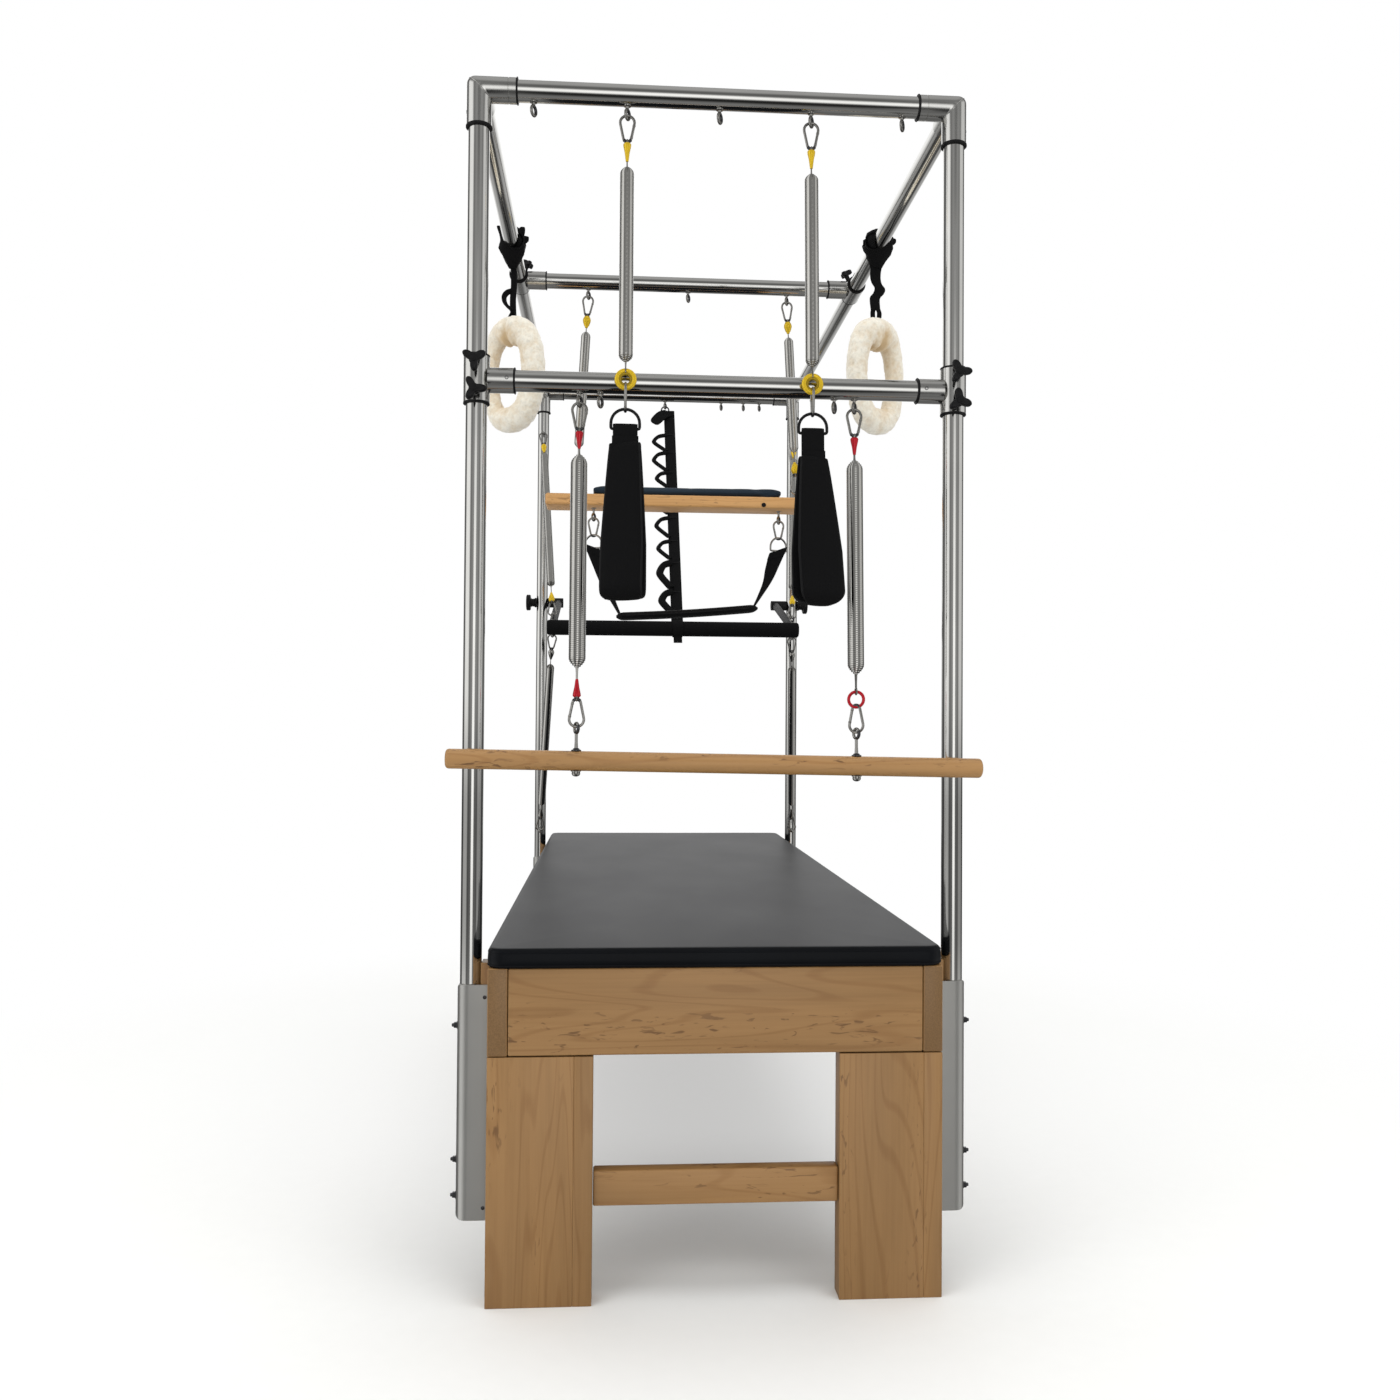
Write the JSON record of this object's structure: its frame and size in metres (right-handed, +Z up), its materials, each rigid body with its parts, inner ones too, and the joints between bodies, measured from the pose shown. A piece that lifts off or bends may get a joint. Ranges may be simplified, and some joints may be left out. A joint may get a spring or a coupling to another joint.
{
  "type": "pilates trapeze table",
  "caption": "Padded table on wooden legs under a tube canopy, with sliding bars, springs, a trapeze, a push-through bar, a roll-down bar and loops.",
  "frame": {"origin": "on the floor under the middle of the table", "axes": "+Z up, +Y along the table away from the end with the sliding front bar, +X to the right when seen from that end"},
  "size_m": [0.9998, 2.226, 2.1925],
  "materials": {
    "maple": "clear satin lacquer",
    "tube_steel": "bright brushed",
    "aluminium": "satin anodised",
    "spring_steel": "plated",
    "black_plastic": "moulded",
    "foam_grip": "closed foam",
    "webbing": "woven webbing",
    "fleece": "deep pile",
    "grey_vinyl": "smooth upholstery vinyl",
    "blue_vinyl": "smooth upholstery vinyl"
  },
  "bodies": {
    "table_frame": {"mat_pad": "grey_vinyl", "leg_front_left": "maple", "post_bracket_front_left": "aluminium", "post_front_left": "tube_steel", "corner_front_left": "tube_steel", "leg_front_right": "maple", "post_bracket_front_right": "aluminium", "post_front_right": "tube_steel", "corner_front_right": "tube_steel", "stretcher_front": "maple", "apron_front": "maple", "crossbar_front": "tube_steel", "leg_rear_left": "maple", "post_bracket_rear_left": "aluminium", "post_rear_left": "tube_steel", "corner_rear_left": "tube_steel", "leg_rear_right": "maple", "post_bracket_rear_right": "aluminium", "post_rear_right": "tube_steel", "corner_rear_right": "tube_steel", "stretcher_rear": "maple", "apron_rear": "maple", "crossbar_rear": "tube_steel", "side_rail_left": "maple", "top_rail_left": "tube_steel", "side_rail_right": "maple", "top_rail_right": "tube_steel", "push_bar_spring_upper_left": "spring_steel", "push_bar_spring_lower_left": "spring_steel", "push_bar_spring_upper_right": "spring_steel", "push_bar_spring_lower_right": "spring_steel", "safety_strap": "webbing"},
    "front_slider": {"slide_bar": "tube_steel", "slide_collar_left": "aluminium", "slide_collar_right": "aluminium"},
    "clamp_upper_left": {"star_knob_upper_left": "black_plastic"},
    "clamp_lower_left": {"star_knob_lower_left": "black_plastic"},
    "clamp_upper_right": {"star_knob_upper_right": "black_plastic"},
    "clamp_lower_right": {"star_knob_lower_right": "black_plastic"},
    "top_carriage": {"top_slider": "tube_steel"},
    "top_clamp_left": {"slider_knob_left": "black_plastic"},
    "top_clamp_right": {"slider_knob_right": "black_plastic"},
    "push_bar": {"push_bar_frame": "tube_steel", "push_bar_grip": "foam_grip"},
    "pivot_knob_left": {"push_bar_knob_left": "black_plastic"},
    "pivot_knob_right": {"push_bar_knob_right": "black_plastic"},
    "arm_coil_left": {"arm_spring_left": "spring_steel"},
    "hand_strap_left": {"hand_loop_left": "webbing"},
    "arm_coil_right": {"arm_spring_right": "spring_steel"},
    "hand_strap_right": {"hand_loop_right": "webbing"},
    "roll_coils": {"roll_spring_left": "spring_steel", "roll_spring_right": "spring_steel"},
    "roll_bar": {"roll_down_bar": "maple"},
    "trapeze_coils": {"trapeze_spring_left": "spring_steel", "trapeze_spring_right": "spring_steel"},
    "trapeze": {"trapeze_plank": "maple", "trapeze_pad": "blue_vinyl"},
    "trapeze_sling": {"sling": "webbing"},
    "wrist_loop_left": {"fleece_loop_left": "fleece"},
    "wrist_loop_right": {"fleece_loop_right": "fleece"}
  },
  "joints": [
    {"name": "front_bar_slide", "type": "slide", "parent": "table_frame", "child": "front_slider", "axis": [0, 0, 1], "range_m": [-0.27, 0.25]},
    {"name": "star_knob_turn_upper_left", "type": "hinge", "parent": "front_slider", "child": "clamp_upper_left", "pos_m": [-0.434, -1.03, 1.6415], "axis": [0, -1, 0], "range_deg": [0, 360]},
    {"name": "star_knob_turn_lower_left", "type": "hinge", "parent": "front_slider", "child": "clamp_lower_left", "pos_m": [-0.434, -1.03, 1.5885], "axis": [0, -1, 0], "range_deg": [0, 360]},
    {"name": "star_knob_turn_upper_right", "type": "hinge", "parent": "front_slider", "child": "clamp_upper_right", "pos_m": [0.434, -1.03, 1.6415], "axis": [0, -1, 0], "range_deg": [0, 360]},
    {"name": "star_knob_turn_lower_right", "type": "hinge", "parent": "front_slider", "child": "clamp_lower_right", "pos_m": [0.434, -1.03, 1.5885], "axis": [0, -1, 0], "range_deg": [0, 360]},
    {"name": "top_bar_slide", "type": "slide", "parent": "table_frame", "child": "top_carriage", "axis": [0, 1, 0], "range_m": [-0.155, 0.45]},
    {"name": "slider_knob_turn_left", "type": "hinge", "parent": "top_carriage", "child": "top_clamp_left", "pos_m": [-0.434, -0.07, 2.14], "axis": [0.4384, 0, 0.8988], "range_deg": [0, 360]},
    {"name": "slider_knob_turn_right", "type": "hinge", "parent": "top_carriage", "child": "top_clamp_right", "pos_m": [0.434, -0.07, 2.14], "axis": [-0.4384, 0, 0.8988], "range_deg": [0, 360]},
    {"name": "push_bar_swing", "type": "hinge", "parent": "table_frame", "child": "push_bar", "pos_m": [0, 1.03, 1.413], "axis": [1, 0, 0], "range_deg": [-80, 0], "stiffness_Nm_per_rad": 12, "springref_deg": 17.19, "deforming": ["push_bar_spring_upper_left", "push_bar_spring_upper_right", "push_bar_spring_lower_left", "push_bar_spring_lower_right", "safety_strap"]},
    {"name": "push_bar_knob_turn_left", "type": "hinge", "parent": "push_bar", "child": "pivot_knob_left", "pos_m": [-0.434, 1.03, 1.413], "axis": [-1, 0, 0], "range_deg": [0, 360]},
    {"name": "push_bar_knob_turn_right", "type": "hinge", "parent": "push_bar", "child": "pivot_knob_right", "pos_m": [0.434, 1.03, 1.413], "axis": [1, 0, 0], "range_deg": [0, 360]},
    {"name": "arm_spring_swing_left", "type": "hinge", "parent": "table_frame", "child": "arm_coil_left", "pos_m": [-0.168, -1.03, 2.10545], "axis": [1, 0, 0], "range_deg": [-75, 0]},
    {"name": "arm_spring_stretch_left", "type": "slide", "parent": "arm_coil_left", "child": "hand_strap_left", "axis": [0, -0.0637, -0.998], "range_m": [0, 0.22], "stiffness_N_per_m": 250, "springref_m": -0.04, "deforming": ["arm_spring_left"]},
    {"name": "arm_spring_swing_right", "type": "hinge", "parent": "table_frame", "child": "arm_coil_right", "pos_m": [0.168, -1.03, 2.10545], "axis": [1, 0, 0], "range_deg": [-75, 0]},
    {"name": "arm_spring_stretch_right", "type": "slide", "parent": "arm_coil_right", "child": "hand_strap_right", "axis": [0, -0.0637, -0.998], "range_m": [0, 0.22], "stiffness_N_per_m": 250, "springref_m": -0.04, "deforming": ["arm_spring_right"]},
    {"name": "roll_down_swing", "type": "hinge", "parent": "front_slider", "child": "roll_coils", "pos_m": [0, -1.03, 1.58045], "axis": [1, 0, 0], "range_deg": [-80, 0]},
    {"name": "roll_down_pull", "type": "slide", "parent": "roll_coils", "child": "roll_bar", "axis": [0, -0.0572, -0.9984], "range_m": [0, 0.25], "stiffness_N_per_m": 600, "springref_m": -0.03, "deforming": ["roll_spring_left", "roll_spring_right"]},
    {"name": "trapeze_swing", "type": "hinge", "parent": "top_carriage", "child": "trapeze_coils", "pos_m": [0, -0.07, 2.10545], "axis": [1, 0, 0], "range_deg": [-20, 20]},
    {"name": "trapeze_pull", "type": "slide", "parent": "trapeze_coils", "child": "trapeze", "axis": [0, 0, -1], "range_m": [0, 0.25], "stiffness_N_per_m": 400, "springref_m": -0.15, "deforming": ["trapeze_spring_left", "trapeze_spring_right"]},
    {"name": "sling_swing", "type": "hinge", "parent": "trapeze", "child": "trapeze_sling", "pos_m": [0, -0.07, 1.531], "axis": [1, 0, 0], "range_deg": [-50, 50]},
    {"name": "fleece_loop_swing_left", "type": "hinge", "parent": "table_frame", "child": "wrist_loop_left", "pos_m": [-0.434, -0.29, 2.14], "axis": [0, 1, 0], "range_deg": [-45, 45]},
    {"name": "fleece_loop_swing_right", "type": "hinge", "parent": "table_frame", "child": "wrist_loop_right", "pos_m": [0.434, -0.355, 2.14], "axis": [0, 1, 0], "range_deg": [-45, 45]}
  ]
}
